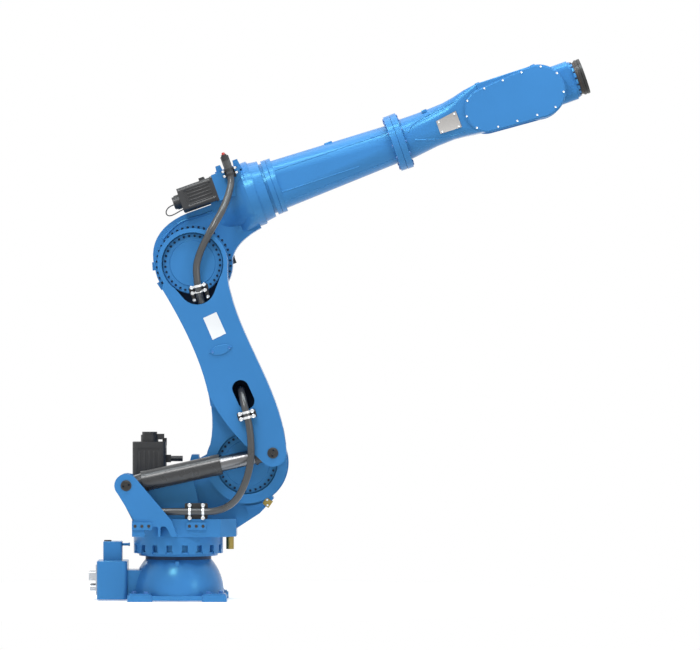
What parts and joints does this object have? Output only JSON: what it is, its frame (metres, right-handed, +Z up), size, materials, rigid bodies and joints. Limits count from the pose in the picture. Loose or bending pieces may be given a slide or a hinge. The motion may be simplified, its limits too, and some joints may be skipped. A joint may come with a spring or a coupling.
{
  "type": "industrial robot arm",
  "caption": "Floor-standing six-axis robot arm: bell base, turning column, curved lower arm with gas-spring balancer, elbow, long tapered forearm and forked wrist with tool flange",
  "frame": {"origin": "on the swivel axis, on the floor plane under the foot", "axes": "+X forward along the reach, +Y to the far side, +Z up"},
  "size_m": [2.6678, 0.775, 2.8807],
  "materials": {
    "blue_paint": "gloss",
    "dark_paint": "satin",
    "black_rubber": "matte",
    "black_plastic": "matte",
    "grey_metal": "satin",
    "bright_steel": "polished",
    "dark_steel": "satin",
    "brass": "satin",
    "grey_hose": "satin"
  },
  "bodies": {
    "base": {"base_casting": "blue_paint", "bearing_ring": "black_rubber", "connector_box": "blue_paint", "connector_panel": "grey_metal", "box_cap": "black_plastic", "stop_knob": "blue_paint"},
    "column": {"turntable_ring": "blue_paint", "column_casting": "blue_paint", "swivel_motor": "dark_paint", "shoulder_motor": "dark_paint", "stop_pin": "brass", "stop_block": "brass", "hole_blocks": "blue_paint", "column_clamp": "black_plastic", "hose_gland": "black_plastic", "rear_pin": "dark_paint", "lower_hose": "grey_hose"},
    "balancer_barrel": {"barrel": "dark_paint"},
    "balancer_rod": {"rod": "bright_steel", "rod_end": "dark_paint"},
    "lower_arm": {"lower_arm": "blue_paint", "shoulder_cover": "blue_paint", "elbow_cover": "blue_paint", "front_pin": "dark_paint", "lens_plate": "blue_paint", "arm_clamps": "black_plastic", "upper_hose": "grey_hose"},
    "upper_arm": {"elbow_casting": "blue_paint", "elbow_motor": "dark_paint", "drive_motors": "dark_paint", "elbow_clamp": "black_plastic", "hose_end": "black_plastic"},
    "forearm": {"rear_rings": "blue_paint", "forearm_tube": "blue_paint", "front_flanges": "blue_paint", "wrist_root": "blue_paint", "wrist_fork": "blue_paint", "near_cover": "blue_paint", "far_cover": "blue_paint"},
    "wrist": {"wrist_body": "blue_paint", "wrist_ring": "blue_paint"},
    "tool": {"tool_flange": "dark_steel"}
  },
  "joints": [
    {"name": "swivel", "type": "hinge", "parent": "base", "child": "column", "pos_m": [0, 0, 0.3], "axis": [0, 0, 1], "range_deg": [-170, 170]},
    {"name": "shoulder", "type": "hinge", "parent": "column", "child": "lower_arm", "pos_m": [0.367, 0, 0.729], "axis": [0, 1, 0], "range_deg": [-45, 85], "deforming": ["lower_hose"]},
    {"name": "barrel_swing", "type": "hinge", "parent": "column", "child": "balancer_barrel", "pos_m": [-0.267, -0.201, 0.616], "axis": [0, 1, 0], "range_deg": [-12, 20]},
    {"name": "rod_swing", "type": "hinge", "parent": "lower_arm", "child": "balancer_rod", "pos_m": [0.50694, -0.201, 0.78782], "axis": [0, 1, 0], "range_deg": [-75, 45]},
    {"name": "elbow", "type": "hinge", "parent": "lower_arm", "child": "upper_arm", "pos_m": [0.08308, 0, 1.78862], "axis": [0, -1, 0], "range_deg": [-65, 85], "deforming": ["upper_hose"]},
    {"name": "forearm_roll", "type": "hinge", "parent": "upper_arm", "child": "forearm", "pos_m": [0.49042, 0, 2.1948], "axis": [0.9421, 0, 0.3355], "range_deg": [-210, 210]},
    {"name": "wrist_bend", "type": "hinge", "parent": "forearm", "child": "wrist", "pos_m": [1.91576, 0, 2.70234], "axis": [0, 1, 0], "range_deg": [-115, 115]},
    {"name": "tool_roll", "type": "hinge", "parent": "wrist", "child": "tool", "pos_m": [2.14373, 0, 2.78352], "axis": [0.9421, 0, 0.3355], "range_deg": [-350, 350]}
  ],
  "couplings": [
    {"joint": "barrel_swing", "follows": "shoulder", "ratio": 0.175},
    {"joint": "rod_swing", "follows": "shoulder", "ratio": -0.825}
  ]
}
